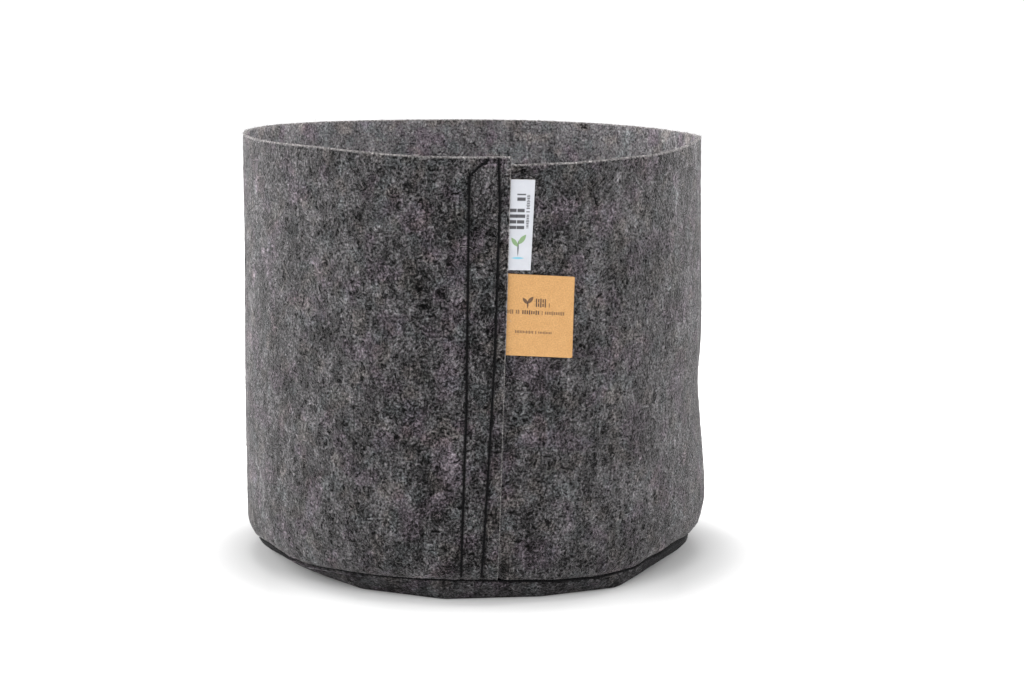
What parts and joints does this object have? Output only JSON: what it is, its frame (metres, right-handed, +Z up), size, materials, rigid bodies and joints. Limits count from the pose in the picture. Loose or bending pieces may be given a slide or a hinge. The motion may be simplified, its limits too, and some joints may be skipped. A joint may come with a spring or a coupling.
{
  "type": "fabric grow bag",
  "caption": "Soft round plant pot sewn from charcoal felt, lapped and stitched down the front, with a folded woven label and a kraft card that swing from the lap.",
  "frame": {"origin": "centre of the underside, on the surface that the bag stands on", "axes": "+Z up through the open rim; -Y towards the stitched lap at the front; +X to the right of someone facing the lap"},
  "size_m": [0.2594, 0.2606, 0.2376],
  "materials": {
    "charcoal_felt": "matte",
    "black_thread": "satin",
    "woven_label": "satin",
    "kraft_card": "matte"
  },
  "bodies": {
    "bag": {"wall_panel": "charcoal_felt", "base_panel": "charcoal_felt", "side_seam_needle_thread_left": "black_thread", "side_seam_needle_thread_right": "black_thread", "side_seam_bobbin_thread_left": "black_thread", "side_seam_bobbin_thread_right": "black_thread", "base_seam_needle_thread": "black_thread", "base_seam_bobbin_thread": "black_thread", "woven_label_tab": "woven_label", "kraft_card_tab": "kraft_card"},
    "label": {"woven_label_flag": "woven_label"},
    "card": {"kraft_card_flag": "kraft_card"}
  },
  "joints": [
    {"name": "label_fold", "type": "hinge", "parent": "bag", "child": "label", "pos_m": [0.01913, -0.12388, 0.19964], "axis": [-0.0276, -0.0127, -0.9995], "range_deg": [0, 110]},
    {"name": "card_fold", "type": "hinge", "parent": "bag", "child": "card", "pos_m": [0.01785, -0.12454, 0.15299], "axis": [-0.0271, -0.018, -0.9995], "range_deg": [0, 110]}
  ]
}
